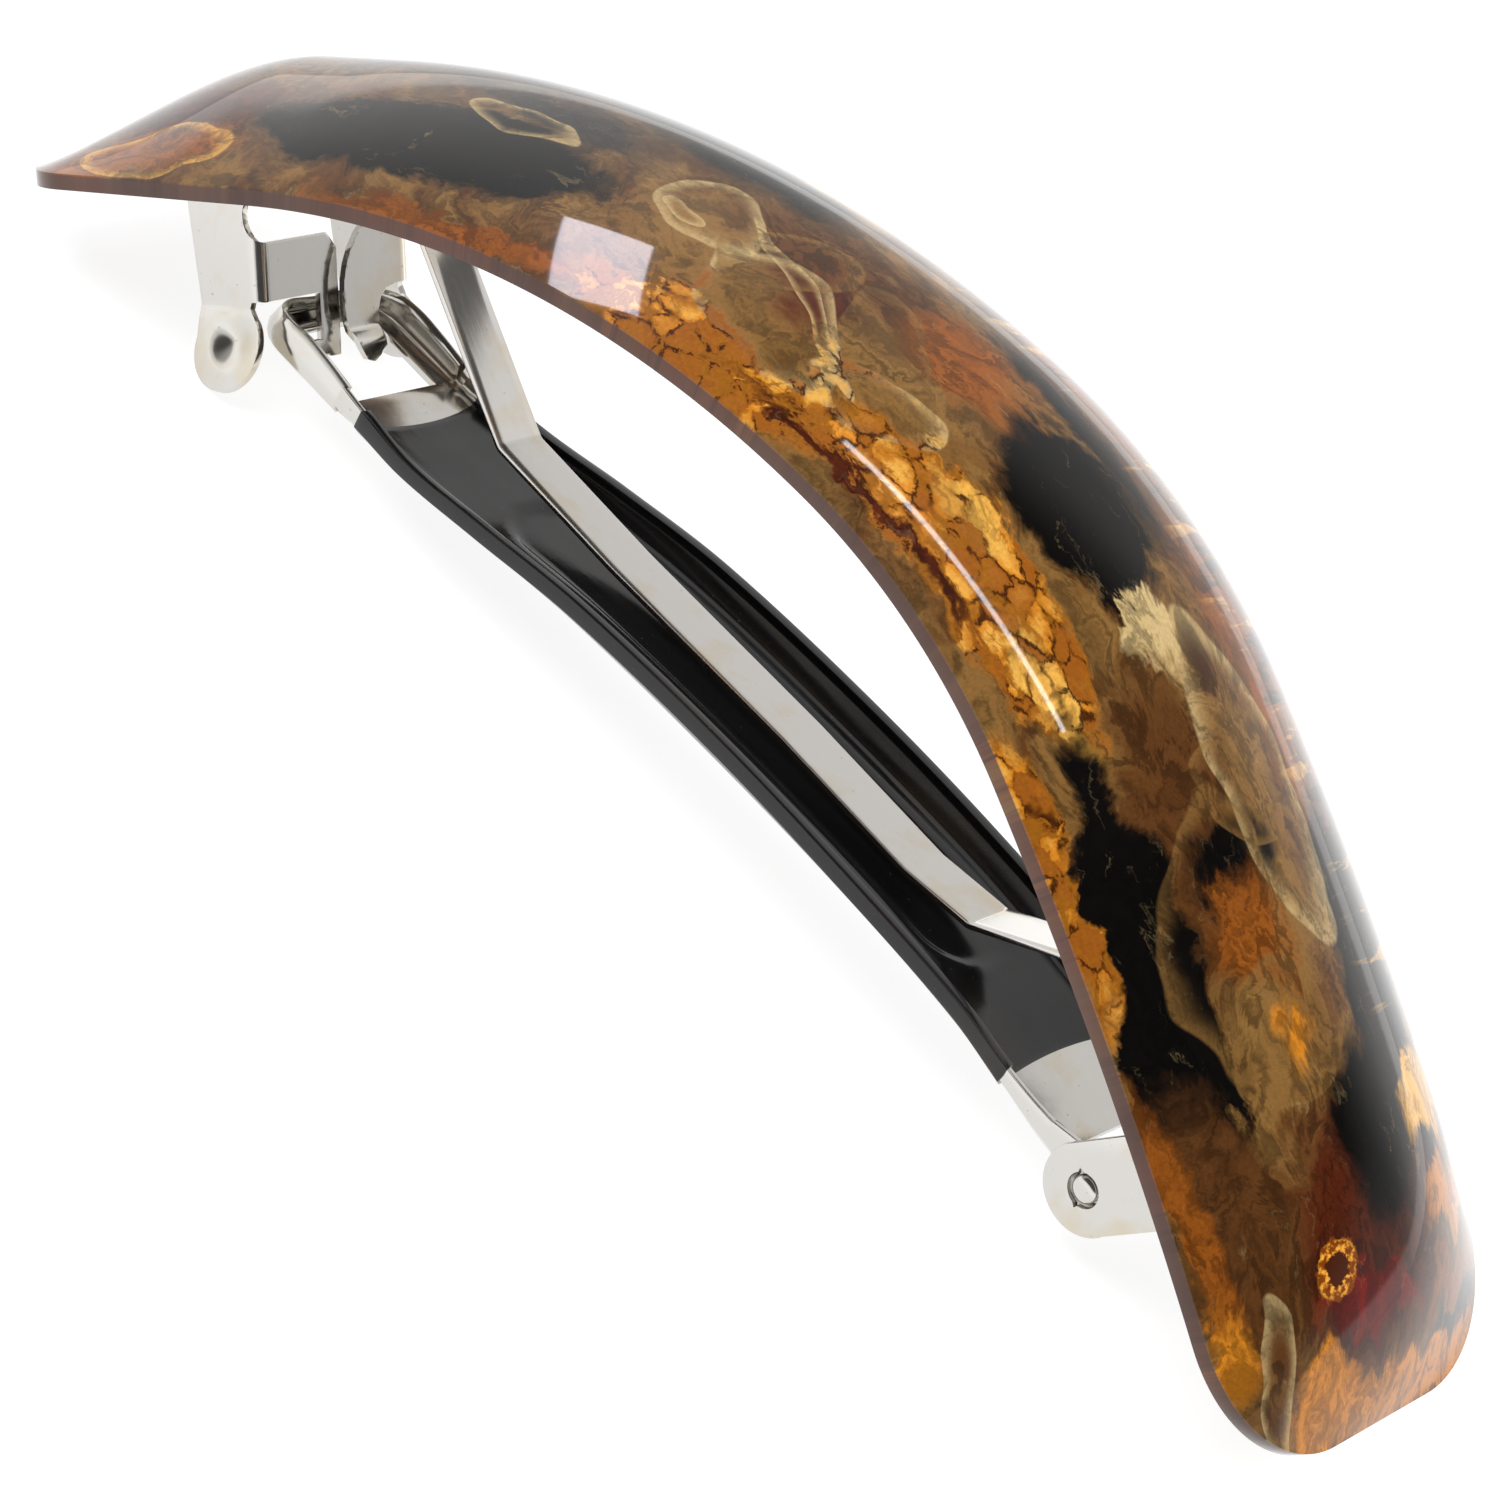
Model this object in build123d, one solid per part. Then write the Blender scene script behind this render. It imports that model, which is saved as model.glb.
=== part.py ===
"""French barrette: a domed acetate bar on a steel clasp, in millimetres.

Frame: X runs along the bar with the hinge end at +X, Y across it, Z up through the domed side.
The origin is on the floor under the middle of the bounding box, with the clasp side down.
"""
from math import cos, radians, sin
import os

from build123d import *

# ---- the bar's underside: a straight end, three tangent arcs, apex up ----
APEX_X = 3.5                # where the underside is highest
APEX_Z = 26.38              # height of that point above the floor
LATCH_R = 65.9              # arc on the latch side of the apex
LATCH_TURN = 0.615          # its turn in radians, then the end is straight
HINGE_R = 36.0              # tighter arc on the hinge side
HINGE_TURN = 0.483
END_R = 220.8               # gentle arc out to the hinge end
LATCH_LENGTH = 60.0         # apex to the latch end, along the underside
HINGE_LENGTH = 53.14        # apex to the hinge end, along the underside

# ---- acetate bar ----
BAR_HALF_WIDTH = 11.65
BAR_EDGE = 0.9              # flat edge left round the dome
BAR_CROWN = 6.6             # thickness in the middle
LATCH_CORNER = 4.6          # corner radius in plan at the latch end
HINGE_CORNER = 7.4          # and at the hinge end
TAPER = ((0.0, BAR_EDGE), (6.0, 4.55), (14.0, 6.75))   # distance from the end, height of the roll-off

# ---- clasp sheet metal ----
SHEET = 0.4
BASE_SHEET = 0.5
BASE_HALF_WIDTH = 4.0
SIDE_IN = 5.2               # inner face of the wings and hinge ears
SIDE_OUT = SIDE_IN + SHEET
OVERLAP = 0.1               # how far one cut or joined shape runs into the next
TALL = 20.0                 # longer than anything it cuts through
BASE_ENDS = (-53.6, 47.3)   # where the base plate stops, along the underside
PRONG = (2.2, 3.0, 2.4)     # anchor prong: along, across, into the acetate
PRONG_INSET = 1.6
POCKET_GAP = 0.03
LATCH_STATION = -46.6       # underside station of the wings' inner edge
HINGE_STATION = 38.02       # underside station above the hinge pin
LANCE_STATIONS = (-39.0, 31.6)
LANCE_HALF_LENGTH = 0.8
LANCE_ROOM = (0.35, 0.25)   # room round the bow's foot: beside it, under it
SHOULDER_SPARE = (0.3, 0.6) # base plate beyond the latch wings, outwards and inwards
BEND_GAP = 0.25             # room at each wing's bend line

# ---- latch wings, in the latch frame: t along the bar, n down from the underside ----
WING_T = (-5.0, -0.1)
WING_ROOT = BASE_SHEET + BEND_GAP
WING_BEND = 6.6             # the paddle leans out from here
PADDLE_LEAN = 20.0
PADDLE_R = 2.5
PADDLE_T = -1.55
PADDLE_N = 9.05
NOTCH = (0.9, 1.75, 1.5)    # relief notch: t, n, radius
FLAP_ROOT = (3.2, 6.5)      # where a flap leaves its tab
NEAR_FLAP_T = (0.05, 0.45)
FAR_FLAP_T = (0.9, 1.3)
NEAR_FLAP = [(-SIDE_IN, FLAP_ROOT[0]), (0.2, 3.2), (0.9, 4.1), (0.9, 10.2), (-0.2, 10.2),
             (-2.95, 9.6), (-2.95, 9.25), (-0.95, 9.25), (-0.95, 6.5), (-SIDE_IN, FLAP_ROOT[1])]
FAR_FLAP = [(SIDE_IN, 1.8), (1.9, 1.8), (0.9, 2.9), (0.3, 4.4), (0.1, 6.2), (0.1, 9.6), (1.3, 10.7),
            (1.8, 10.7), (2.95, 10.1), (2.95, 9.8), (2.75, 9.8), (2.75, 7.7), (3.3, 6.8),
            (SIDE_IN, FLAP_ROOT[1])]

# ---- hinge ----
PIN_N = 8.68                # pin below the underside
EAR_R = 2.5
EAR_SWEEP = 0.74            # the ears lean towards the latch by this much, root to pin
PIN_R = 0.72
PIN_EDGE = 0.2              # rounding of the pin's ends
PIN_FIT = 0.02
ARM_FIT = 0.05
COUNTERSINK = (1.0, 0.15)   # ring round the pin's end: radius, depth
LUG_R = 1.7

# ---- arm stations: x, rim top, rim bottom, floor bottom (heights from the apex), half width, inset ----
ARM_STATIONS = [
    (-36.3, -21.45, -22.30, -22.75, 5.04, 0.30),
    (-32.4, -20.60, -22.35, -22.75, 5.04, 0.30),
    (-28.6, -20.95, -22.30, -22.75, 5.04, 0.35),
    (-26.5, -21.15, -22.10, -22.70, 5.10, 0.60),
    (-22.0, -21.05, -21.75, -22.35, 5.60, 1.20),
    (-16.0, -20.10, -20.80, -21.60, 5.90, 1.30),
    (-8.0, -18.95, -19.65, -20.65, 6.00, 1.30),
    (4.0, -18.40, -19.10, -20.20, 6.00, 1.30),
    (15.0, -18.60, -19.30, -20.30, 6.00, 1.30),
    (22.5, -19.20, -19.90, -20.90, 5.80, 1.20),
    (26.3, -20.20, -21.00, -21.75, 5.35, 0.80),
    (29.5, -20.90, -22.10, -22.60, 4.75, 0.30),
    (34.8, -20.60, -22.60, -23.10, 4.75, 0.30),
]
ARM_WALL = 0.42
ARM_FLOOR = 0.4
COAT = 0.14                 # black coating on the arm
COAT_SPAN = (-26.5, 26.3)
WINDOW = (-34.95, -28.4, 3.15)      # latch window: x from, x to, half width
LOOP_CORNER = 3.0

# ---- bow spring ----
BOW_HALF_WIDTH = 1.7
BOW_SHEET = 0.35
BOW_FEET = ((-40.6, -37.6), (30.0, 33.2))       # underside stations of the two feet
BOW_BACK = [(-19.9, -19.35), (-10.0, -18.95), (4.0, -18.75), (14.0, -18.95), (18.9, -19.05)]
BOW_BEND_R = 1.6
FOOT_PLAY = 0.05


def underside(s, n=0.0):
    """Point (x, z) on the bar's underside at arc length s from the apex, n below it."""
    x, z, slope = APEX_X, APEX_Z, 0.0
    if s < 0:
        slope = -min(-s / LATCH_R, LATCH_TURN)
        x += LATCH_R * sin(slope)
        z -= LATCH_R * (1 - cos(slope))
        straight = max(-s - LATCH_R * LATCH_TURN, 0)
        x -= straight * cos(slope)
        z += straight * sin(slope)
    else:
        slope = min(s / HINGE_R, HINGE_TURN)
        x += HINGE_R * sin(slope)
        z -= HINGE_R * (1 - cos(slope))
        rest = max(s - HINGE_R * HINGE_TURN, 0)
        turned = slope + rest / END_R
        x += END_R * (sin(turned) - sin(slope))
        z += END_R * (cos(turned) - cos(slope))
        slope = turned
    return x - n * sin(slope), z - n * cos(slope), slope


def station(s):
    """Frame on the underside: X along the bar, Y across, Z out through the bar."""
    x, z, slope = underside(s)
    return Plane(origin=(x, 0, z), x_dir=(cos(slope), 0, -sin(slope)), z_dir=(sin(slope), 0, cos(slope)))


def run(n, start, end):
    """Edges that follow the underside at depth n from one arc length to another."""
    joints = [-LATCH_R * LATCH_TURN, 0.0, HINGE_R * HINGE_TURN]
    stops = [start] + [s for s in joints if start < s < end] + [end]
    edges = []
    for a, b in zip(stops, stops[1:]):
        p, m, q = [(underside(s, n)[0], 0, underside(s, n)[1]) for s in (a, (a + b) / 2, b)]
        is_straight = b <= joints[0]
        edges.append(Line(p, q) if is_straight else ThreePointArc(p, m, q))
    return edges


def band(n_top, n_bottom, start, end, half_width):
    """Curved strip between two depths under the bar."""
    top = run(n_top, start, end)
    bottom = run(n_bottom, start, end)
    sides = [Line(top[0] @ 0, bottom[0] @ 0), Line(top[-1] @ 1, bottom[-1] @ 1)]
    face = make_face(top + bottom + sides)
    return Pos(0, -half_width, 0) * extrude(face, amount=2 * half_width, dir=(0, 1, 0))


def side_plate(outline, y_low, y_high):
    """Outline of (x, z) points, solid from one y to another."""
    face = make_face(Polyline(*[(x, y_low, z) for x, z in outline], close=True))
    return extrude(face, amount=y_high - y_low, dir=(0, 1, 0))


def cross_plate(outline, t_low, t_high):
    """Outline of (y, n) points across the bar, solid from one t to another."""
    face = make_face(Polyline(*[(t_low, y, -n) for y, n in outline], close=True))
    return extrude(face, amount=t_high - t_low, dir=(1, 0, 0))


def rod(x, z, radius, y_low, y_high):
    """Cylinder along Y."""
    return Pos(x, (y_low + y_high) / 2, z) * Rot(90, 0, 0) * Cylinder(radius, y_high - y_low)


def block(x_range, y_range, z_range):
    """Box between limits."""
    middles = [sum(limits) / 2 for limits in (x_range, y_range, z_range)]
    sizes = [limits[1] - limits[0] for limits in (x_range, y_range, z_range)]
    return Pos(*middles) * Box(*sizes)


def from_apex(points):
    """Points whose heights are measured from the apex, in the part's frame."""
    return [(x, z + APEX_Z) for x, z in points]


def end_cutters():
    """What is milled off each end: the roll-off of the dome and the two corners."""
    (d0, h0), (d1, h1), (d2, h2) = TAPER
    wide = BAR_HALF_WIDTH + 1
    cutters = []
    for s, inward, radius in ((-LATCH_LENGTH, 1, LATCH_CORNER), (HINGE_LENGTH, -1, HINGE_CORNER)):
        frame = station(s)
        heights = ((d0, h0), (d1, h1), (d2, h2), (d2, TALL), (-2, TALL), (-2, h0))
        points = [(inward * d, -wide, h) for d, h in heights]
        curve = ThreePointArc(*points[:3])
        rest = Polyline(*points[2:], points[0])
        cutters.append(frame * extrude(make_face([curve, rest]), amount=2 * wide, dir=(0, 1, 0)))
        for side in (-1, 1):
            middle = side * (BAR_HALF_WIDTH - radius)
            x_range = sorted((-2 * inward, inward * radius))
            corner = block(x_range, sorted((middle, side * wide)), (-2, TALL))
            corner -= Pos(inward * radius, middle, 0) * Cylinder(radius, 3 * TALL)
            cutters.append(frame * corner)
    return cutters


def make_shell():
    """Domed acetate bar with a pocket for each anchor prong."""
    path = Wire(run(0, -LATCH_LENGTH, HINGE_LENGTH))
    start = station(-LATCH_LENGTH)
    w = BAR_HALF_WIDTH
    lines = Polyline((0, w, BAR_EDGE), (0, w, 0), (0, -w, 0), (0, -w, BAR_EDGE))
    dome = ThreePointArc((0, -w, BAR_EDGE), (0, 0, BAR_CROWN), (0, w, BAR_EDGE))
    shell = sweep(start * make_face([lines, dome]), path=path)
    for cutter in end_cutters():
        shell -= cutter
    for prong in make_prongs(POCKET_GAP):
        shell -= prong
    return shell


def make_prongs(gap=0.0):
    """Prongs at the base plate's ends that are set into the acetate."""
    along, across, deep = PRONG
    prongs = []
    for s, inward in ((BASE_ENDS[0], 1), (BASE_ENDS[1], -1)):
        half_along = along / 2 + gap
        half_across = across / 2 + gap
        prong = block((-half_along, half_along), (-half_across, half_across), (-BASE_SHEET / 2, deep + gap))
        prongs.append(station(s + inward * PRONG_INSET) * prong)
    return prongs


def make_lances():
    """Straps on the base plate that hold the bow spring's feet."""
    straps = []
    beside, under = LANCE_ROOM
    foot_top = BASE_SHEET + BOW_SHEET + under
    inner = BOW_HALF_WIDTH + beside
    outer = inner + SHEET
    length = (-LANCE_HALF_LENGTH, LANCE_HALF_LENGTH)
    for s in LANCE_STATIONS:
        strap = block(length, (-outer, outer), (-foot_top - SHEET, -BASE_SHEET))
        strap -= block((-1, 1), (-inner, inner), (-foot_top, 0))
        straps.append(station(s) * strap)
    return straps


def make_base_plate():
    """Steel strip under the bar, with prongs, lances, wing shoulders and hinge ears."""
    base = band(0, BASE_SHEET, *BASE_ENDS, BASE_HALF_WIDTH)
    out, back = SHOULDER_SPARE
    base += band(0, BASE_SHEET, LATCH_STATION + WING_T[0] - out, LATCH_STATION + back, SIDE_OUT)
    ear_middle = HINGE_STATION + EAR_SWEEP
    base += band(0, BASE_SHEET, ear_middle - EAR_R, ear_middle + EAR_R, SIDE_OUT)
    for piece in make_prongs() + make_lances():
        base += piece
    hinge = station(HINGE_STATION)
    for y_low, y_high in ((-SIDE_OUT, -SIDE_IN), (SIDE_IN, SIDE_OUT)):
        ear = side_plate([(-EAR_R, -PIN_N), (EAR_R, -PIN_N), (EAR_R + EAR_SWEEP, -BASE_SHEET / 2),
                          (EAR_SWEEP - EAR_R, -BASE_SHEET / 2)], y_low, y_high)
        ear += rod(0, -PIN_N, EAR_R, y_low, y_high)
        ear -= rod(0, -PIN_N, PIN_R + PIN_FIT, y_low - 1, y_high + 1)
        outside = y_low if y_low < 0 else y_high
        radius, depth = COUNTERSINK
        ear -= rod(0, -PIN_N, radius, outside - depth, outside + depth)
        base += hinge * ear
    return base


def make_wing(side, flap, flap_t):
    """Latch wing: tab, leaning paddle and inward flap. side is -1 near, +1 far."""
    t_low, t_high = WING_T
    tab = block((t_low, t_high), (SIDE_IN, SIDE_OUT), (-WING_BEND, -WING_ROOT))
    t, n, radius = NOTCH
    tab += block((t_high, flap_t[1]), (SIDE_IN, SIDE_OUT), (-FLAP_ROOT[1], -FLAP_ROOT[0]))
    tab -= rod(t, -n, radius, SIDE_IN - 1, SIDE_OUT + 1)
    drop = (PADDLE_N - WING_BEND) / cos(radians(PADDLE_LEAN))
    corners = [(t_low, OVERLAP), (t_high, OVERLAP)]
    corners += [(PADDLE_T + PADDLE_R, -drop), (PADDLE_T - PADDLE_R, -drop)]
    leaf = make_face(Polyline(*corners, close=True))
    paddle = extrude(leaf, amount=SHEET) + Pos(PADDLE_T, -drop, SHEET / 2) * Cylinder(PADDLE_R, SHEET)
    tilt = Pos(0, SIDE_OUT, -WING_BEND) * Rot(90 + PADDLE_LEAN, 0, 0)
    tab += tilt * paddle
    if side < 0:
        tab = mirror(tab, about=Plane.XZ)
    wing = tab + cross_plate(flap, *flap_t)
    return station(LATCH_STATION) * wing


def arm_section(values, grow=0.0):
    """Section of the arm at one station, grown all round for its coating."""
    x, top, rim, floor, half, inset = values
    wall = half - ARM_WALL - grow
    half += grow
    inner_floor = floor + ARM_FLOOR + grow
    floor -= grow
    half_points = [(half, top + grow), (half, rim), (half - inset, floor)]
    step = max(rim, inner_floor) + OVERLAP / 2
    inner_points = [(wall - inset, inner_floor), (wall, step), (wall, top + grow)]
    left = [(-y, z) for y, z in reversed(half_points)]
    inner = [(-y, z) for y, z in reversed(inner_points)] + inner_points
    loop = half_points + left + inner
    return make_face(Polyline(*[(x, y, z + APEX_Z) for y, z in loop], close=True))


def arm_span(x_low, x_high, grow=0.0):
    """The arm's channel between two of its stations."""
    stations = [values for values in ARM_STATIONS if x_low <= values[0] <= x_high]
    return loft([arm_section(values, grow) for values in stations], ruled=True)


def make_arm():
    """Channel with a window at the latch, a closed end and two lugs on the hinge pin."""
    first, last = ARM_STATIONS[0], ARM_STATIONS[-1]
    arm = arm_span(first[0], last[0])
    x_low, x_high, half = WINDOW
    floor = first[3] + APEX_Z
    arm -= block((x_low, x_high), (-half, half), (floor - 1, floor + TALL))
    end_x, wall_top = first[0], first[1] + APEX_Z
    arm += block((end_x, end_x + SHEET), (-first[4], first[4]), (floor, wall_top))
    for side in (-1, 1):
        middle = side * (first[4] - LOOP_CORNER)
        centre = Pos(end_x + LOOP_CORNER, middle, floor)
        y_range = sorted((middle, side * (first[4] + 1)))
        corner = block((end_x - 1, end_x + LOOP_CORNER), y_range, (floor - 1, floor + TALL))
        arm -= corner - centre * Cylinder(LOOP_CORNER, 3 * TALL)
        ring = centre * (Cylinder(LOOP_CORNER, TALL) - Cylinder(LOOP_CORNER - SHEET, TALL))
        arm += ring & block((end_x, end_x + LOOP_CORNER), y_range, (floor, wall_top))
    hinge_x, hinge_z, _ = underside(HINGE_STATION, PIN_N)
    arm -= block((hinge_x - LUG_R, last[0]), (ARM_WALL - last[4], last[4] - ARM_WALL), (0, 2 * hinge_z))
    arm -= block((hinge_x, last[0] + 1), (-BAR_HALF_WIDTH, BAR_HALF_WIDTH), (0, 2 * hinge_z))
    for y_low, y_high in ((-last[4], ARM_WALL - last[4]), (last[4] - ARM_WALL, last[4])):
        arm += rod(hinge_x, hinge_z, LUG_R, y_low, y_high)
    arm -= rod(hinge_x, hinge_z, PIN_R + ARM_FIT, -BAR_HALF_WIDTH, BAR_HALF_WIDTH)
    return arm


def make_arm_coating():
    """Black coating over the middle of the arm, all round it."""
    return arm_span(*COAT_SPAN, grow=COAT) - arm_span(*COAT_SPAN)


def make_hinge_pin():
    """Pin through both ears and both lugs, with rounded ends."""
    hinge_x, hinge_z, _ = underside(HINGE_STATION, PIN_N)
    pin = rod(hinge_x, hinge_z, PIN_R, -SIDE_OUT, SIDE_OUT)
    return fillet(pin.edges().filter_by(GeomType.CIRCLE), PIN_EDGE)


def make_bow_spring():
    """Leaf spring: two feet under the lances, two legs and a nearly flat back."""
    foot_n = BASE_SHEET + FOOT_PLAY + BOW_SHEET / 2
    latch_foot, hinge_foot = [[underside(s, foot_n)[:2] for s in foot] for foot in BOW_FEET]
    points = latch_foot + from_apex(BOW_BACK) + hinge_foot
    route = FilletPolyline(*[(x, 0, z) for x, z in points], radius=BOW_BEND_R)
    lower = offset(route, amount=BOW_SHEET / 2, side=Side.BOTH)
    face = make_face(lower.edges())
    return Pos(0, -BOW_HALF_WIDTH, 0) * extrude(face, amount=2 * BOW_HALF_WIDTH, dir=(0, 1, 0))


def main():
    nodes = {
        "shell": make_shell(),
        "base_plate": make_base_plate(),
        "near_wing": make_wing(-1, NEAR_FLAP, NEAR_FLAP_T),
        "far_wing": make_wing(1, FAR_FLAP, FAR_FLAP_T),
        "arm": make_arm(),
        "arm_coating": make_arm_coating(),
        "hinge_pin": make_hinge_pin(),
        "bow_spring": make_bow_spring(),
    }
    os.makedirs("parts", exist_ok=True)
    for name, solid in nodes.items():
        export_step(solid, f"parts/{name}.step")


main()
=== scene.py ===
from math import asin, atan2, cos, hypot, pi, radians, sin, sqrt

import bmesh
import bpy
from mathutils import Matrix, Vector


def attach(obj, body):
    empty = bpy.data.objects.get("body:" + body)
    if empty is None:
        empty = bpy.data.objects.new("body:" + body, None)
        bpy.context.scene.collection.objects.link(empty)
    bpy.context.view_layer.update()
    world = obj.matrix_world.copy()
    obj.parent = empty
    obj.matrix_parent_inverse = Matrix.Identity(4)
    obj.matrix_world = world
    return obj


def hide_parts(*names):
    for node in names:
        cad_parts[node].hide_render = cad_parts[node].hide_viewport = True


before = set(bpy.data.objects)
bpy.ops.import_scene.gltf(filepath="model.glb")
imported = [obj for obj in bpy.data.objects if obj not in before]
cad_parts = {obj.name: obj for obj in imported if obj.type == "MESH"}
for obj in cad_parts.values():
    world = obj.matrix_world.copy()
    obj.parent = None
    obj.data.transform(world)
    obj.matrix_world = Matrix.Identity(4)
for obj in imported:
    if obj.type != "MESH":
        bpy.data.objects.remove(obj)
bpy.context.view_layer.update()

# ---------------------------------------------------------------- sizes, in millimetres as on the part
MM = 0.001
BASE_BODY, ARM_BODY = "clasp_base", "clasp_arm"
NEAR_BODY, FAR_BODY = "near_latch_wing", "far_latch_wing"

# the bar's underside: a straight end, three tangent arcs, apex up
APEX_X, APEX_Z = 3.5, 26.38
LATCH_R, LATCH_TURN = 65.9, 0.615
HINGE_R, HINGE_TURN = 36.0, 0.483
END_R = 220.8
LATCH_LENGTH, HINGE_LENGTH = 60.0, 53.14
BAR_HALF, BAR_EDGE, BAR_CROWN = 11.65, 0.9, 6.6
LATCH_CORNER, HINGE_CORNER = 4.6, 7.4
ROLL_OFF = 14.0             # length over which the dome comes down to each end
DOME_POWER = 1.8

SHEET, BASE_SHEET = 0.4, 0.5
BASE_HALF = 4.0
SIDE_MID = 5.4              # middle of the wing and ear sheet
SHEET_TOP = 0.45            # where wings and ears start, under the bar
LATCH_STATION, HINGE_STATION = -46.6, 38.02
STRIP_SPAN = (-53.6, 47.3)
SHOULDER_DROP = 0.02        # keeps the shoulders' faces off the strip's
LANCES = (("latch_lance", -39.0), ("hinge_lance", 31.6))
PIN_N, PIN_R = 8.68, 0.72
EAR_R, EAR_SWEEP = 2.5, 0.74

ARM_STATIONS = [            # x, rim top, rim bottom, floor bottom, half width, inset, as in the frame
    (-28.6, -20.95, -22.30, -22.75, 5.04, 0.35),
    (-26.5, -21.15, -22.10, -22.70, 5.10, 0.60),
    (-22.0, -21.05, -21.75, -22.35, 5.60, 1.20),
    (-16.0, -20.10, -20.80, -21.60, 5.90, 1.30),
    (-8.0, -18.95, -19.65, -20.65, 6.00, 1.30),
    (4.0, -18.40, -19.10, -20.20, 6.00, 1.30),
    (15.0, -18.60, -19.30, -20.30, 6.00, 1.30),
    (22.5, -19.20, -19.90, -20.90, 5.80, 1.20),
    (26.3, -20.20, -21.00, -21.75, 5.35, 0.80),
    (29.5, -20.90, -22.10, -22.60, 4.75, 0.30),
    (34.8, -20.60, -22.60, -23.10, 4.75, 0.30),
]
COAT_SPAN = (-26.5, 26.3)
COAT = 0.14                 # how far the black coating stands off the steel
COAT_ENDS = (0.9, -0.5)     # how far the coating's ends curve in the middle
CHANNEL_SPAN = (-28.4, 30.6)
GROOVE_SPAN = (-14.0, 17.0)
GROOVE_HALF, GROOVE_EDGE, GROOVE_DEPTH = 3.5, 0.7, 0.22
LUG_R, LUG_SIDE = 1.7, 4.75 # round end of the hinge lugs, outer face from the middle

# the latch loop: its outer wall in plan, its section and its rim, heights below the bar's apex
LOOP_END, LOOP_BACK, LOOP_HALF, LOOP_CORNER = -36.1, -28.3, 4.84, 2.8
LOOP_FLOOR = -22.55
LOOP_SECTION = [            # inset from the outer wall, share of the wall's height
    (0.34, 1.0),
    (0.22, 0.72),
    (0.10, 0.45),
    (0.02, 0.22),
    (0.05, 0.08),
    (0.18, 0.01),
    (0.36, 0.0),
    (0.8, 0.0),
    (1.3, 0.0),
    (1.66, 0.0),
]
LOOP_RIM = [                # x, height
    (-36.3, -21.45),
    (-35.6, -21.25),
    (-34.4, -20.85),
    (-32.4, -20.60),
    (-30.4, -20.72),
    (-28.3, -20.97),
]
LOOP_DIP, DIP_HALF, DIP_X = 0.25, 3.0, -35.0    # the rim is a little lower in the middle of its tip

BOW_HALF, BOW_SHEET, BOW_BEND = 1.7, 0.35, 1.6
BOW_FEET = ((-40.6, -37.6), (30.0, 33.2))   # arc lengths along the bar
# the bow's back: x, height below the apex
BOW_BACK = [(-19.9, -19.35), (-10.0, -18.95), (4.0, -18.75), (14.0, -18.95), (18.9, -19.05)]


# ---------------------------------------------------------------- geometry helpers
def underside(s, n=0.0):
    """Point (x, z) and slope of the bar's underside at arc length s from the apex, n below it."""
    x, z = APEX_X, APEX_Z
    if s < 0:
        slope = -min(-s / LATCH_R, LATCH_TURN)
        straight = max(-s - LATCH_R * LATCH_TURN, 0)
        x += LATCH_R * sin(slope) - straight * cos(slope)
        z += -LATCH_R * (1 - cos(slope)) + straight * sin(slope)
    else:
        slope = min(s / HINGE_R, HINGE_TURN)
        turned = slope + max(s - HINGE_R * HINGE_TURN, 0) / END_R
        x += HINGE_R * sin(slope) + END_R * (sin(turned) - sin(slope))
        z += -HINGE_R * (1 - cos(slope)) + END_R * (cos(turned) - cos(slope))
        slope = turned
    return x - n * sin(slope), z - n * cos(slope), slope


def placed(s, t, y, n):
    """Point with t along the bar, y across it and n below its underside, in the frame at station s."""
    x, z, slope = underside(s)
    return (x + t * cos(slope) - n * sin(slope), y, z - t * sin(slope) - n * cos(slope))


def new_mesh(name, points, faces, body, material):
    """Mesh object from points in millimetres, riding on a body."""
    mesh = bpy.data.meshes.new(name)
    mesh.from_pydata([Vector(p) * MM for p in points], [], faces)
    mesh.validate()
    piece = bpy.data.objects.new(name, mesh)
    bpy.context.collection.objects.link(piece)
    mesh.materials.append(material)
    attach(piece, body)
    return piece


def grid_faces(rows, columns, closed=False):
    """Quads over a grid of points stored row by row."""
    wide = columns if closed else columns - 1
    faces = []
    for i in range(rows - 1):
        for j in range(wide):
            k = (j + 1) % columns
            faces.append((i * columns + j, i * columns + k, (i + 1) * columns + k, (i + 1) * columns + j))
    return faces


def apply_modifiers(piece):
    """Bakes the modifiers into the mesh."""
    depsgraph = bpy.context.evaluated_depsgraph_get()
    mesh = bpy.data.meshes.new_from_object(piece.evaluated_get(depsgraph))
    piece.modifiers.clear()
    piece.data = mesh


def finish_sheet(piece, thickness, round_edge, smooth=35):
    """Gives a surface its thickness and rounded edges."""
    bm = bmesh.new()
    bm.from_mesh(piece.data)
    bmesh.ops.recalc_face_normals(bm, faces=bm.faces)
    bm.to_mesh(piece.data)
    bm.free()
    if thickness:
        solid = piece.modifiers.new("thickness", "SOLIDIFY")
        solid.thickness = thickness * MM
        solid.offset = 0
        solid.use_even_offset = True
    round_off(piece, round_edge)
    apply_modifiers(piece)
    piece.data.shade_smooth()
    piece.data.set_sharp_from_angle(angle=radians(smooth))


def round_off(piece, width, segments=2, angle=40):
    """Rounds the hard edges."""
    bevel = piece.modifiers.new("edges", "BEVEL")
    bevel.width = width * MM
    bevel.segments = segments
    bevel.limit_method = "ANGLE"
    bevel.angle_limit = radians(angle)
    bevel.harden_normals = False


def arc_points(centre, radius, start, end, count):
    """Points on an arc, angles in degrees."""
    steps = [radians(start + (end - start) * i / (count - 1)) for i in range(count)]
    return [(centre[0] + radius * cos(a), centre[1] + radius * sin(a)) for a in steps]


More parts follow.
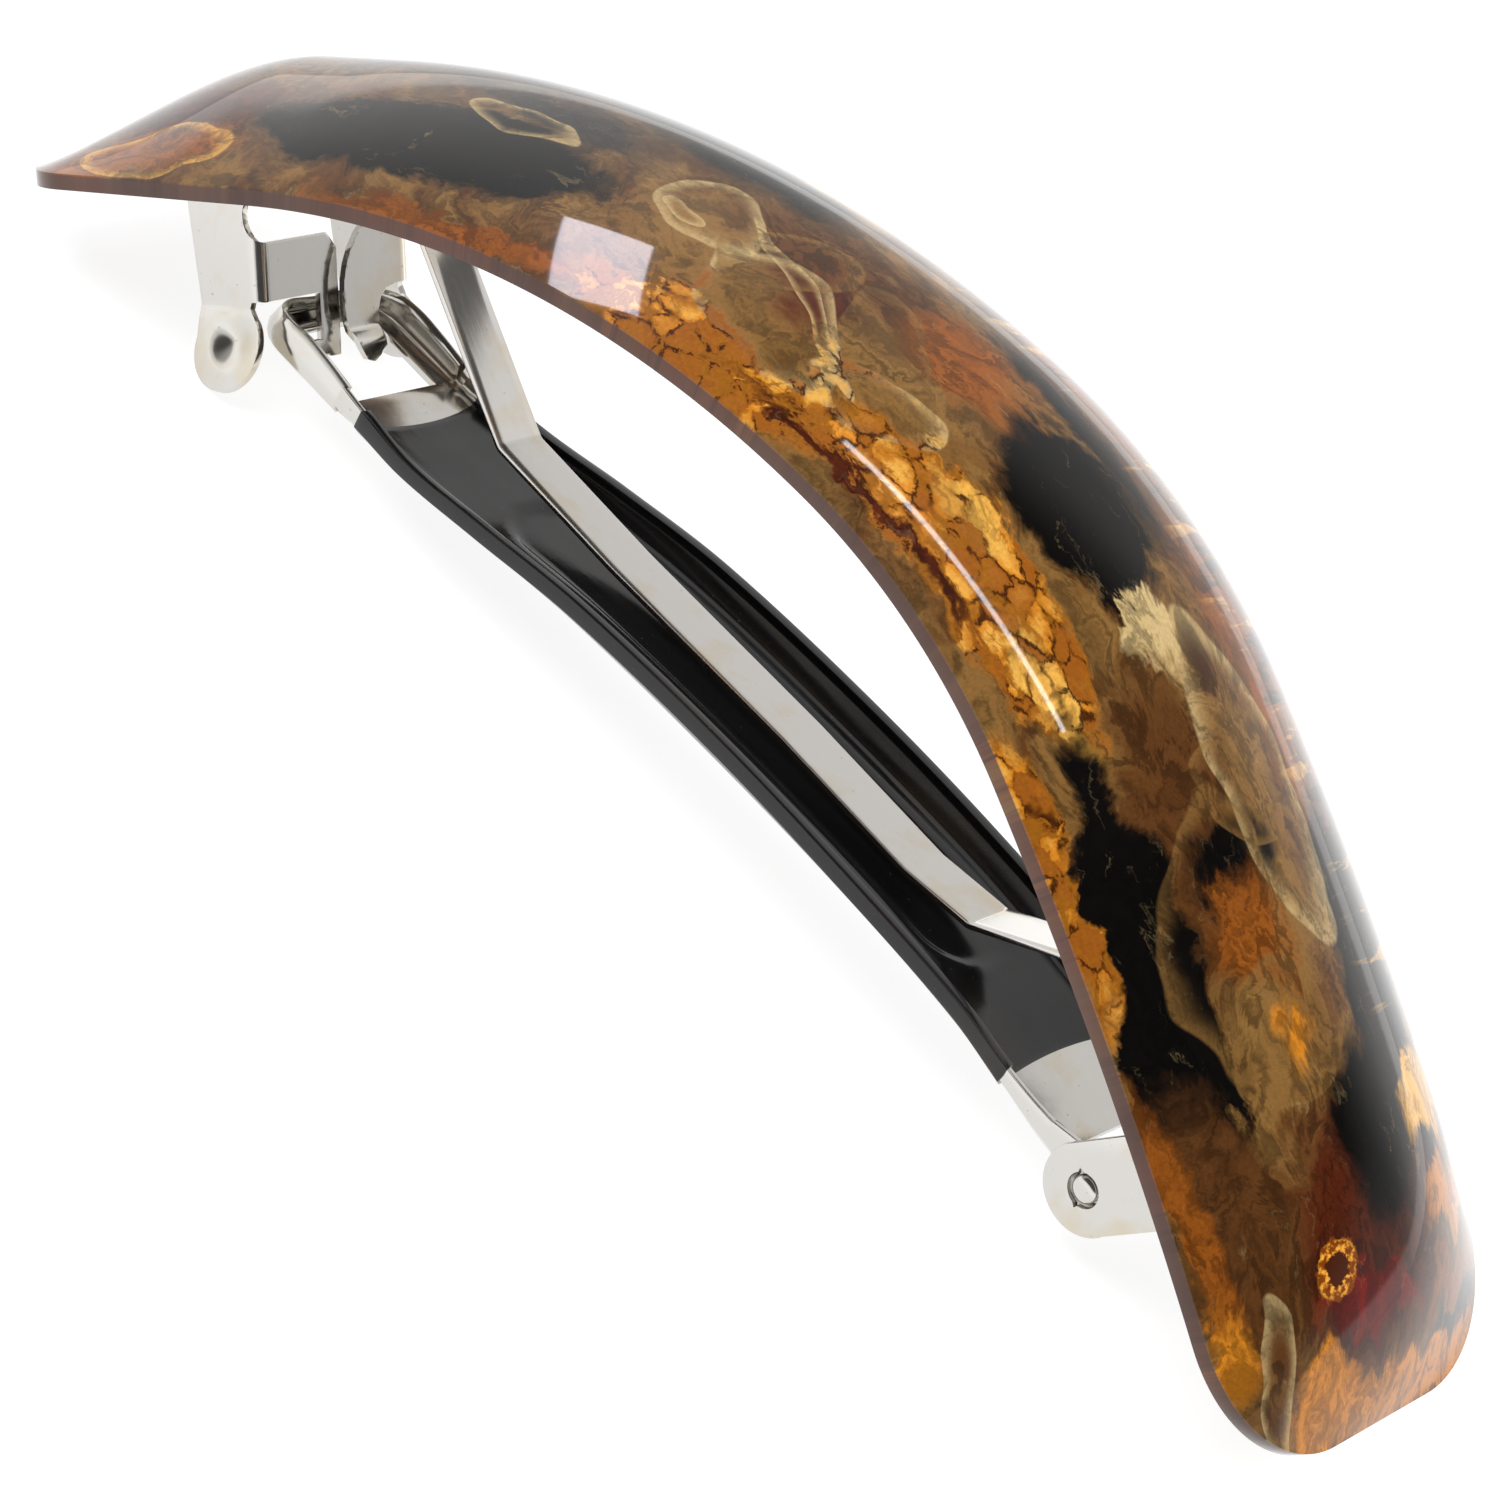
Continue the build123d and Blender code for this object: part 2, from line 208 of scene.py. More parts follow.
def filleted(points, radius, count=8):
    """Polyline with its inner corners rounded."""
    route = [points[0]]
    for before, corner, after in zip(points, points[1:], points[2:]):
        a = (Vector(before) - Vector(corner)).normalized()
        b = (Vector(after) - Vector(corner)).normalized()
        half = a.angle(b) / 2
        if half > radians(89):
            route.append(corner)
            continue
        reach = radius * cos(half) / sin(half)
        centre = Vector(corner) + (a + b).normalized() * radius / sin(half)
        first = Vector(corner) + a * reach - centre
        last = Vector(corner) + b * reach - centre
        for i in range(count + 1):
            route.append(tuple(centre + first.slerp(last, i / count)))
    route.append(points[-1])
    return route


def points_and_faces(bm, place):
    """The mesh as a list of placed points and a list of faces; the bmesh is freed."""
    bm.verts.index_update()
    points = [place(v.co.x, v.co.y) for v in bm.verts]
    faces = [tuple(v.index for v in face.verts) for face in bm.faces]
    bm.free()
    return points, faces


def flat_pattern(outline, step):
    """Outline of a sheet cut into small cells, so that it can be bent: points and faces in 2D."""
    bm = bmesh.new()
    bm.faces.new([bm.verts.new((u, n, 0)) for u, n in outline])
    for axis in (0, 1):
        low = min(p[axis] for p in outline)
        high = max(p[axis] for p in outline)
        cut = low + step
        while cut < high:
            place = [0, 0, 0]
            normal = [0, 0, 0]
            place[axis] = cut
            normal[axis] = 1
            geometry = bm.verts[:] + bm.edges[:] + bm.faces[:]
            bmesh.ops.bisect_plane(bm, geom=geometry, plane_co=place, plane_no=normal)
            cut += step
    return points_and_faces(bm, lambda u, n: (u, n))


def plate_with_hole(outline, hole):
    """Flat bmesh between an outline and a hole."""
    bm = bmesh.new()
    edges = []
    for loop in (outline, hole):
        verts = [bm.verts.new((u, v, 0)) for u, v in loop]
        edges += [bm.edges.new(pair) for pair in zip(verts, verts[1:] + verts[:1])]
    bmesh.ops.triangle_fill(bm, edges=edges, use_beauty=True)
    return bm


def smooth_step(x):
    x = min(max(x, 0), 1)
    return x * x * (3 - 2 * x)


def between(stations, x):
    """Values at x, on smooth curves through the stations."""
    last = len(stations) - 2
    i = max(k for k in range(last + 1) if stations[k][0] <= x or k == 0)
    a, b = stations[i], stations[i + 1]
    before, after = stations[max(i - 1, 0)], stations[min(i + 2, last + 1)]
    f = min(max((x - a[0]) / (b[0] - a[0]), 0), 1)
    values = []
    for k in range(1, len(a)):
        slope_a = (b[k] - before[k]) / (b[0] - before[0]) * (b[0] - a[0])
        slope_b = (after[k] - a[k]) / (after[0] - a[0]) * (b[0] - a[0])
        h = [2 * f**3 - 3 * f**2 + 1, f**3 - 2 * f**2 + f, -2 * f**3 + 3 * f**2, f**3 - f**2]
        values.append(h[0] * a[k] + h[1] * slope_a + h[2] * b[k] + h[3] * slope_b)
    return values


# ---------------------------------------------------------------- material helpers
class Nodes:
    """Short calls for building a node tree."""

    def __init__(self, name):
        self.material = bpy.data.materials.new(name)
        self.material.use_nodes = True
        self.tree = self.material.node_tree
        self.shader = self.tree.nodes["Principled BSDF"]

    def add(self, kind, inputs=None, **settings):
        node = self.tree.nodes.new(kind)
        for key, value in settings.items():
            setattr(node, key, value)
        for key, value in (inputs or {}).items():
            self.set(node.inputs[key], value)
        return node

    def set(self, socket, value):
        if hasattr(value, "links"):
            self.tree.links.new(value, socket)
        else:
            socket.default_value = value

    def math(self, operation, a, b=0.0):
        return self.add("ShaderNodeMath", {0: a, 1: b}, operation=operation).outputs[0]

    def vector(self, operation, a, b=(0, 0, 0)):
        return self.add("ShaderNodeVectorMath", {0: a, 1: b}, operation=operation).outputs[0]

    def mix(self, factor, a, b, blend="MIX"):
        node = self.add("ShaderNodeMix", data_type="RGBA", blend_type=blend)
        self.set(node.inputs[0], factor)
        self.set(node.inputs[6], a)
        self.set(node.inputs[7], b)
        return node.outputs[2]

    def range(self, value, low, high, to_low=0.0, to_high=1.0):
        limits = {0: value, 1: low, 2: high, 3: to_low, 4: to_high}
        return self.add("ShaderNodeMapRange", limits, interpolation_type="SMOOTHSTEP").outputs[0]

    def noise(self, vector, scale, detail=3.0, rough=0.5, distortion=0.0):
        inputs = {"Vector": vector, "Scale": scale, "Detail": detail, "Roughness": rough}
        inputs["Distortion"] = distortion
        return self.add("ShaderNodeTexNoise", inputs)

    def surface(self, inputs):
        """Sets inputs of the shader by name."""
        for key, value in inputs.items():
            self.set(self.shader.inputs[key], value)

    def bump(self, height, strength, distance):
        node = self.add("ShaderNodeBump", {"Height": height, "Strength": strength, "Distance": distance})
        self.surface({"Normal": node.outputs[0]})


def rgb(red, green, blue):
    """Linear colour from 0 to 255 display values."""
    return tuple((v / 255) ** 2.2 for v in (red, green, blue)) + (1.0,)


AMBER, HONEY, ORANGE = rgb(186, 116, 34), rgb(212, 158, 72), rgb(126, 71, 25)
BLACK, MAROON, BROWN = rgb(15, 13, 12), rgb(72, 32, 16), rgb(82, 52, 27)
OLIVE, BEIGE, SMOKE = rgb(118, 87, 48), rgb(176, 152, 106), rgb(42, 38, 35)
RED = rgb(104, 20, 6)
# s along the bar, y across it, half length, half width, turn in degrees, colour, softness
SWIRLS = [
    (-58, 0, 3.5, 9, 10, ORANGE, 0.4),
    (-50, -6.5, 6, 2.6, 5, MAROON, 0.4),
    (-53, 4, 4.5, 5, 0, BROWN, 0.4),
    (-50, -9.9, 6.5, 1.5, 8, ORANGE, 0.22),
    (-44.6, -6.6, 1.6, 1.8, 20, MAROON, 0.4),
    (-35, 3, 14, 5, 0, SMOKE, 0.6),
    (-36, 8.5, 9, 3, 4, BLACK, 0.5),
    (-34, 9.3, 3, 1.2, 20, ORANGE, 0.5),
    (-32, -7.0, 11.5, 2.9, 3, BLACK, 0.12),
    (-27, -11.3, 9, 0.8, 3, ORANGE, 0.25),
    (-26, -2.6, 6, 1.5, -6, SMOKE, 0.5),
    (-18, 1.0, 8, 2.6, -4, BLACK, 0.35),
    (-13, 6.2, 4, 2.6, 0, HONEY, 0.4),
    (-22, 9, 8, 2.4, 0, BLACK, 0.5),
    (-10, -6.2, 8.5, 3.6, 4, OLIVE, 0.3),
    (-9, -2.5, 6, 2.0, 8, BROWN, 0.4),
    (-7.5, -5.4, 2.4, 1.6, 0, MAROON, 0.5),
    (-10, -10.4, 8.5, 1.5, 0, AMBER, 0.25),
    (6, 3.4, 11, 2.6, -2, BROWN, 0.3),
    (2, 4.6, 5, 1.4, 0, ORANGE, 0.4),
    (4, 0.9, 6, 0.9, 0, BLACK, 0.4),
    (7.6, -2.8, 5.2, 3.1, 4, BLACK, 0.14),
    (-1, -2.4, 3.4, 2.4, 0, ORANGE, 0.4),
    (-1, -6.2, 4.2, 1.6, 10, OLIVE, 0.4),
    (7.5, -8.7, 10.5, 2.1, 2, AMBER, 0.12),
    (5.5, -7.6, 2.6, 0.8, 0, HONEY, 0.2),
    (15, -8.6, 4, 0.6, 4, HONEY, 0.2),
    (2, -10.3, 10, 0.35, 1, MAROON, 0.4),
    (17, 3.0, 7, 2.0, 0, ORANGE, 0.4),
    (13.8, -3.1, 1.7, 1.4, 0, BEIGE, 0.12),
    (19, -1.4, 4.8, 1.1, 20, OLIVE, 0.3),
    (23, -5.2, 8, 2.6, -4, BROWN, 0.3),
    (26, -1.6, 6.0, 1.0, -12, OLIVE, 0.3),
    (33, 2.8, 8.5, 3.0, -4, BLACK, 0.14),
    (24.6, -3.8, 1.8, 2.6, 0, BLACK, 0.35),
    (28.4, -4.4, 2.6, 2.0, -6, ORANGE, 0.4),
    (33, -5.0, 3.0, 2.2, -10, OLIVE, 0.3),
    (33, -4.2, 2.0, 0.9, -10, AMBER, 0.4),
    (31, -9.2, 14, 1.9, -2, BLACK, 0.12),
    (22.5, -11.3, 7.5, 0.8, 0, AMBER, 0.2),
    (38.6, 4.6, 1.9, 3.4, 6, HONEY, 0.2),
    (43.5, 5.4, 1.7, 4.0, -4, AMBER, 0.2),
    (41.2, 1.5, 0.8, 3.0, 0, BLACK, 0.3),
    (43.5, -2.4, 6.2, 4.8, 10, MAROON, 0.35),
    (39, -1.2, 4.2, 2.6, 0, BLACK, 0.3),
    (47.4, 6.4, 1.5, 4.2, 0, ORANGE, 0.25),
    (49.6, 7, 0.8, 3.6, 4, BLACK, 0.3),
    (51.9, 2, 1.9, 9, 0, AMBER, 0.25),
    (50.6, -5.6, 2.6, 2.0, 10, AMBER, 0.2),
    (46.6, -2.6, 1.2, 3.6, -14, RED, 0.4),
    (42, -9.0, 7.5, 1.7, 4, BROWN, 0.35),
    (41, -10.8, 7.0, 0.8, 3, ORANGE, 0.4),
    (47, -10.6, 2.6, 1.0, 0, AMBER, 0.4),
    (-3, 9, 9, 3, 0, BROWN, 0.6),
    (16, 8.6, 10, 3, 0, ORANGE, 0.6),
    (28, 8.8, 5, 3, 0, SMOKE, 0.6),
]
# petals, bright along the outline and clear inside: s, y, half length, half width, turn, clear share, colour
PETALS = [
    (-15.4, -4.4, 3.1, 1.9, -8, 0.60, BEIGE),
    (-16.2, -5.2, 1.5, 0.4, -10, 0.0, BEIGE),
    (-8.6, -7.2, 5.0, 2.6, -16, 0.84, BEIGE),
    (-8.2, -5.6, 6.0, 0.45, -22, 0.0, BEIGE),
    (-10.5, -4.4, 3.4, 2.2, 30, 0.80, OLIVE),
    (-4.0, -4.4, 3.6, 1.9, -30, 0.70, OLIVE),
    (-28, -3.9, 3.6, 0.9, -8, 0.60, BEIGE),
    (-1.5, -7.2, 3.6, 1.5, 12, 0.60, BEIGE),
    (21.5, -0.6, 8.0, 2.6, 3, 0.72, BEIGE),
    (27.5, -5.4, 6.8, 3.0, -12, 0.84, OLIVE),
    (33.2, -4.8, 3.4, 2.6, -10, 0.65, OLIVE),
    (-49, -9.6, 5.6, 1.6, 9, 0.70, HONEY),
    (49, -8.7, 4.5, 0.9, 3, 0.30, BEIGE),
    (22, -2.2, 3.0, 2.0, 40, 0.70, OLIVE),
]
CELLS = (4, -10.4, 27, 4.4)         # where the amber is veined: s, y, half length, half width
# centre of the painted glints of the anchor prong under the acetate: s, y
PRONG_GLINT = (44.4, -5.1)


def ellipse_distance(nodes, point, s, y, half_long, half_wide, turn):
    """Distance from an ellipse's centre, 1 on its outline."""
    moved = nodes.vector("SUBTRACT", point, (s, y, 0))
    inputs = {"Vector": moved, "Angle": -radians(turn)}
    turned = nodes.add("ShaderNodeVectorRotate", inputs, rotation_type="Z_AXIS").outputs[0]
    scaled = nodes.vector("DIVIDE", turned, (half_long, half_wide, 1))
    return nodes.add("ShaderNodeVectorMath", {0: scaled}, operation="LENGTH").outputs[1]


def drift(nodes, noise_colour, reach):
    """Offset in the plane, from a noise colour."""
    return nodes.vector("MULTIPLY", nodes.vector("SUBTRACT", noise_colour, (0.5, 0.5, 0.5)), reach)


def acetate_material():
    """Polished tortoiseshell: clouds and rings of colour with dark veined cells in the amber."""
    nodes = Nodes("tortoiseshell_acetate")
    place = nodes.add("ShaderNodeUVMap", uv_map="along_across").outputs[0]
    place = nodes.vector("MULTIPLY", place, (1, 1, 0))
    streaked = nodes.vector("MULTIPLY", place, (0.55, 1, 1))
    wobble = drift(nodes, nodes.noise(streaked, 0.42, 5.0, 0.6, 0.6).outputs["Color"], (6.5, 3.6, 0))
    jitter = drift(nodes, nodes.noise(streaked, 2.2, 4.0, 0.62, 0.3).outputs["Color"], (0.9, 0.7, 0))
    warped = nodes.vector("ADD", nodes.vector("ADD", place, wobble), jitter)

    cloud = nodes.noise(warped, 0.30, 4.0, 0.55).outputs["Fac"]
    colour = nodes.mix(nodes.range(cloud, 0.35, 0.62), BROWN, OLIVE)
    colour = swirls(nodes, warped, colour)
    colour = drips(nodes, place, colour)
    colour = petals(nodes, place, colour)
    colour = flow_shade(nodes, place, wobble, colour)
    colour = pale_wisps(nodes, warped, colour)
    colour = veined_cells(nodes, place, jitter, colour)
    grain = nodes.noise(place, 5.0, 4.0, 0.7).outputs["Fac"]
    colour = nodes.mix(nodes.range(grain, 0.3, 0.75, 0.0, 0.25), colour, (0, 0, 0, 1))
    colour = painted_prong_glints(nodes, place, colour)
    colour = side_face_painted_reflection(nodes, cloud, colour)

    nodes.surface({"Base Color": colour, "Roughness": 0.3, "Specular IOR Level": 0.05})
    nodes.surface({"Coat Weight": 1.0, "Coat Roughness": 0.035, "Coat IOR": 1.43})
    ripple = nodes.noise(place, 0.5, 2.0).outputs["Fac"]
    nodes.bump(ripple, 0.25, 0.0002)
    return nodes.material


def swirls(nodes, warped, colour):
    """Soft clouds of colour, one for each row of SWIRLS."""
    for s, y, half_long, half_wide, turn, tint, soft in SWIRLS:
        distance = ellipse_distance(nodes, warped, s, y, half_long, half_wide, turn)
        colour = nodes.mix(nodes.range(distance, 1 + soft, 1 - soft), colour, tint)
    return colour


def petals(nodes, place, colour):
    """Thin petals, bright along the outline and clear inside."""
    calm = nodes.noise(place, 0.22, 1.0, 0.4).outputs["Color"]
    gently = nodes.vector("ADD", place, drift(nodes, calm, (3.4, 2.4, 0)))
    for s, y, half_long, half_wide, turn, clear, tint in PETALS:
        distance = ellipse_distance(nodes, gently, s, y, half_long, half_wide, turn)
        inside = nodes.range(distance, 1.03, 0.98)
        rim = nodes.math("POWER", nodes.range(distance, clear * 0.7, 1.0), 2.5)
        strength = nodes.math("MULTIPLY", nodes.math("MULTIPLY", inside, rim), 0.62)
        colour = nodes.mix(strength, colour, tint)
    return colour


def flow_shade(nodes, place, wobble, colour):
    """Darker and lighter along the flow of the material."""
    swept = nodes.vector("ADD", place, nodes.vector("MULTIPLY", wobble, (1.6, 1.6, 0)))
    flow_place = nodes.vector("MULTIPLY", swept, (0.50, 1.0, 0))
    flow = nodes.noise(flow_place, 0.50, 3.0, 0.5, 2.2).outputs["Fac"]
    shade = nodes.range(flow, 0.36, 0.62, 0.50, 1.08)
    grey = nodes.add("ShaderNodeCombineColor", {0: shade, 1: shade, 2: shade}).outputs[0]
    return nodes.mix(1.0, colour, grey, "MULTIPLY")


def pale_wisps(nodes, warped, colour):
    """Faint pale streaks along the bar."""
    long_place = nodes.vector("MULTIPLY", warped, (0.35, 1.6, 0))
    wisps = nodes.noise(long_place, 0.9, 5.0, 0.6, 1.2).outputs["Fac"]
    return nodes.mix(nodes.range(wisps, 0.60, 0.80, 0.0, 0.30), colour, BEIGE)


def side_face_painted_reflection(nodes, cloud, colour):
    """Dull brown to grey-brown over the small flat side face, found by its low height: the acetate's brown
    with the face's grey reflection painted in.
    """
    height = nodes.add("ShaderNodeUVMap", uv_map="height").outputs[0]
    height = nodes.add("ShaderNodeSeparateXYZ", {0: height}).outputs[0]
    painted_reflection_share = nodes.range(height, 0.86, 0.78, 0.0, 0.85)
    # painted reflection: the grey-brown mix stands for the flat side face reflecting grey
    return nodes.mix(painted_reflection_share, colour, nodes.mix(cloud, rgb(56, 32, 24), rgb(88, 62, 56)))


def drips(nodes, place, colour):
    """Narrow gold and dark runs across the bar on its far side."""
    run_place = nodes.vector("MULTIPLY", place, (0.85, 0.09, 0))
    runs = nodes.noise(run_place, 1.0, 4.0, 0.55, 0.2).outputs["Fac"]
    parts = nodes.add("ShaderNodeSeparateXYZ", {0: place})
    lowest = nodes.noise(nodes.vector("MULTIPLY", place, (1, 0, 0)), 0.5, 2.0).outputs["Fac"]
    height = nodes.math("SUBTRACT", parts.outputs[1], nodes.math("MULTIPLY", lowest, 8.0))
    side = nodes.math("MULTIPLY", nodes.range(height, -2.6, 0.2), nodes.range(parts.outputs[0], -9.0, -3.0))
    side = nodes.math("MULTIPLY", side, nodes.range(parts.outputs[0], 36.0, 30.0))
    gold = nodes.math("MULTIPLY", nodes.range(runs, 0.57, 0.63, 0.0, 0.8), side)
    dark = nodes.math("MULTIPLY", nodes.range(runs, 0.44, 0.40, 0.0, 0.85), side)
    return nodes.mix(dark, nodes.mix(gold, colour, HONEY), BLACK)


def veined_cells(nodes, place, jitter, colour):
    """Glowing cells with dark veins between them, where the acetate is light along the near edge."""
    light = nodes.add("ShaderNodeRGBToBW", {0: colour}).outputs[0]
    zone = ellipse_distance(nodes, place, *CELLS, 0)
    amber = nodes.math("MULTIPLY", nodes.range(light, 0.10, 0.20), nodes.range(zone, 1.1, 0.85))
    cell_place = nodes.vector("ADD", nodes.vector("MULTIPLY", place, (0.6, 1.1, 0)), jitter)
    inputs = {"Vector": cell_place, "Scale": 0.90, "Randomness": 1.0}
    edge = nodes.add("ShaderNodeTexVoronoi", inputs, feature="DISTANCE_TO_EDGE").outputs[0]
    pick = nodes.add("ShaderNodeTexVoronoi", inputs, feature="F1").outputs["Color"]
    shade = nodes.add("ShaderNodeSeparateColor", {0: pick}).outputs[0]
    deep = nodes.math("MULTIPLY", nodes.range(shade, 0.25, 0.60, 0.0, 0.85), amber)
    colour = nodes.mix(deep, colour, ORANGE)
    glow = nodes.math("MULTIPLY", nodes.range(edge, 0.06, 0.26), nodes.range(shade, 0.7, 0.1))
    colour = nodes.mix(nodes.math("MULTIPLY", glow, nodes.math("MULTIPLY", amber, 0.8)), colour, HONEY)
    broken = nodes.range(nodes.noise(place, 0.6, 3.0).outputs["Fac"], 0.36, 0.52)
    vein = nodes.math("MULTIPLY", nodes.range(edge, 0.085, 0.012), nodes.math("MULTIPLY", amber, broken))
    return nodes.mix(nodes.math("MULTIPLY", vein, 0.9), colour, rgb(44, 18, 4))


def painted_prong_glints(nodes, place, colour):
    """The pocket of the clasp's anchor prong, which shows through the acetate, painted on its surface as a
    box with a rim of painted gold glints.
    """
    s, y = PRONG_GLINT
    moved = nodes.vector("SUBTRACT", place, (s, y, 0))
    inputs = {"Vector": moved, "Angle": radians(8)}
    turned = nodes.add("ShaderNodeVectorRotate", inputs, rotation_type="Z_AXIS").outputs[0]
    parts = nodes.add("ShaderNodeSeparateXYZ", {0: turned})
    across = nodes.math("DIVIDE", nodes.math("ABSOLUTE", parts.outputs[0]), 1.35)
    along = nodes.math("DIVIDE", nodes.math("ABSOLUTE", parts.outputs[1]), 1.05)
    round_box = nodes.math("ADD", nodes.math("POWER", across, 2.6), nodes.math("POWER", along, 2.6))
    box = nodes.math("POWER", round_box, 0.4)
    torn = nodes.noise(place, 2.4, 3.0, 0.6).outputs["Fac"]
    box = nodes.math("ADD", box, nodes.math("MULTIPLY", nodes.math("SUBTRACT", torn, 0.5), 0.75))
    # painted highlight: gold glints along the box's rim, where the steel prong shines through
    rim = nodes.math("MULTIPLY", nodes.range(box, 1.12, 0.98), nodes.range(box, 0.50, 0.64))
    glint = nodes.range(torn, 0.46, 0.62)
    colour = nodes.mix(rim, colour, nodes.mix(glint, rgb(112, 56, 12), rgb(220, 152, 56)))
    # painted darker inside the box, where the prong's pocket shows through
    return nodes.mix(nodes.range(box, 0.60, 0.46), colour, rgb(64, 30, 14))


def metal_material(name, tint, roughness, grain_scale, grain=(1, 1, 1)):
    """Nickel-plated steel with a faint grain, small pits and uneven polish."""
    nodes = Nodes(name)
    place = nodes.add("ShaderNodeTexCoord").outputs["Object"]
    grained = nodes.vector("MULTIPLY", place, grain)
    cloud = nodes.noise(place, 260.0, 3.0, 0.55).outputs["Fac"]
    lines = nodes.noise(grained, grain_scale, 3.0, 0.7).outputs["Fac"]
    pits = nodes.noise(place, 2600.0, 2.0, 0.6).outputs["Fac"]
    warm = tuple(v * f for v, f in zip(tint[:3], (0.97, 0.90, 0.78))) + (1.0,)
    colour = nodes.mix(nodes.range(cloud, 0.48, 0.72), tint, warm)
    colour = nodes.mix(nodes.range(pits, 0.70, 0.78, 0.0, 0.35), colour, rgb(96, 84, 70))
    uneven = nodes.math("MULTIPLY", nodes.math("SUBTRACT", lines, 0.5), 0.10)
    polish = nodes.math("ADD", uneven, roughness)
    nodes.surface({"Base Color": colour, "Metallic": 1.0, "Roughness": polish})
    relief = nodes.math("ADD", nodes.math("MULTIPLY", lines, 0.6), nodes.math("MULTIPLY", cloud, 0.8))
    nodes.bump(relief, 0.12, 0.00004)
    return nodes.material


def coating_material():
    """Glossy black dipped coating with faint flow marks and a little dust."""
    nodes = Nodes("black_coating")
    place = nodes.add("ShaderNodeTexCoord").outputs["Object"]
    flow = nodes.noise(nodes.vector("MULTIPLY", place, (0.25, 1, 1)), 420.0, 3.0, 0.55).outputs["Fac"]
    dust = nodes.noise(place, 3800.0, 2.0, 0.5).outputs["Fac"]
    brown = nodes.noise(nodes.vector("MULTIPLY", place, (0.3, 1, 1)), 120.0, 3.0, 0.6).outputs["Fac"]
    colour = nodes.mix(nodes.range(brown, 0.50, 0.70), (0.006, 0.006, 0.007, 1), (0.020, 0.016, 0.011, 1))
    colour = nodes.mix(nodes.range(dust, 0.72, 0.78, 0.0, 0.25), colour, (0.25, 0.25, 0.26, 1))
    nodes.surface({"Base Color": colour, "Roughness": nodes.range(flow, 0.3, 0.7, 0.10, 0.20), "IOR": 1.5})
    nodes.bump(flow, 0.35, 0.00006)
    return nodes.material


def floor_material():
    """Plain white sweep."""
    nodes = Nodes("white_sweep")
    place = nodes.add("ShaderNodeTexCoord").outputs["Object"]
    paper = nodes.noise(place, 60.0, 2.0).outputs["Fac"]
    colour = nodes.mix(paper, (0.20, 0.20, 0.20, 1), (0.22, 0.22, 0.22, 1))
    nodes.surface({"Base Color": colour, "Roughness": 0.9, "Specular IOR Level": 0.0})
    nodes.surface({"Emission Color": (1, 1, 1, 1), "Emission Strength": 0.88})
    return nodes.material


ACETATE = acetate_material()
NICKEL = metal_material("nickel_steel", (0.66, 0.645, 0.615, 1), 0.14, 900.0)
SPRING = metal_material("spring_steel", (0.68, 0.665, 0.64, 1), 0.17, 1500.0, (0.12, 1, 0.12))
BLACK_COAT = coating_material()


# ---------------------------------------------------------------- the acetate bar
def dome_height(s, v):
    """Thickness of the bar at arc length s, v from -1 to 1 across it."""
    from_end = min(s + LATCH_LENGTH, HINGE_LENGTH - s)
    roll = 1 - (1 - min(from_end / ROLL_OFF, 1)) ** 2
    return BAR_EDGE + (BAR_CROWN - BAR_EDGE) * roll * (1 - abs(v) ** DOME_POWER)


def half_width_at(s):
    """Half width of the bar, narrowing round its corners."""
    at_latch = s < 0
    radius = LATCH_CORNER if at_latch else HINGE_CORNER
    from_end = s + LATCH_LENGTH if at_latch else HINGE_LENGTH - s
    back = max(radius - from_end, 0)
    return BAR_HALF - radius + sqrt(max(radius**2 - back**2, 0))


def bar_stations():
    """Arc lengths of the cross-sections, close together round the corners."""
    steps = [1 - cos(pi / 2 * i / 26) for i in range(27)]
    start, end = LATCH_CORNER - LATCH_LENGTH, HINGE_LENGTH - HINGE_CORNER
    middle = [start + (end - start) * i / 170 for i in range(1, 170)]
    first = [LATCH_CORNER * step - LATCH_LENGTH for step in steps]
    last = [HINGE_LENGTH - HINGE_CORNER * step for step in reversed(steps)]
    return first + middle + last


def make_bar():
    """Closed domed bar with a small flat side face all round."""
    across, under = 72, 12
    points, uvs, heights = [], [], []
    stations = bar_stations()
    for s in stations:
        half = half_width_at(s)
        ring = [(v, dome_height(s, v)) for v in (-cos(pi * j / across) for j in range(across + 1))]
        ring += [(v, 0.0) for v in (1 - 2 * j / under for j in range(under + 1))]
        for v, height in ring:
            points.append(placed(s, 0, v * half, -height))
            uvs.append((s, v * half))
            heights.append((height, 0.0))
    columns = len(ring)
    faces = grid_faces(len(stations), columns, closed=True)
    faces.append(tuple(range(columns)))
    faces.append(tuple(reversed(range(len(points) - columns, len(points)))))
    bar = new_mesh("bar", points, faces, BASE_BODY, ACETATE)
    for layer_name, values in (("along_across", uvs), ("height", heights)):
        layer = bar.data.uv_layers.new(name=layer_name)
        for loop in bar.data.loops:
            layer.data[loop.index].uv = values[loop.vertex_index]
    lowest = bar.data.uv_layers["height"].data
    for face in bar.data.polygons:
        if all(heights[i][0] == 0 for i in face.vertices):
            for k in face.loop_indices:
                lowest[k].uv = (BAR_CROWN, 0.0)
    finish_sheet(bar, 0, 0.16, smooth=60)
    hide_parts("shell")


# ---------------------------------------------------------------- the clasp's base plate
def make_base_strip():
    """Steel strip of even width that follows the bar's underside; the shoulders make the plate wider at the
    wings and ears.
    """
    points = []
    start, end = STRIP_SPAN
    count = 150
    for i in range(count + 1):
        s = start + (end - start) * i / count
        points += [placed(s, 0, BASE_HALF * (j / 4 - 1), BASE_SHEET / 2) for j in range(9)]
    strip = new_mesh("base_strip", points, grid_faces(count + 1, 9), BASE_BODY, NICKEL)
    finish_sheet(strip, BASE_SHEET, 0.08)
    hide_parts("base_plate")


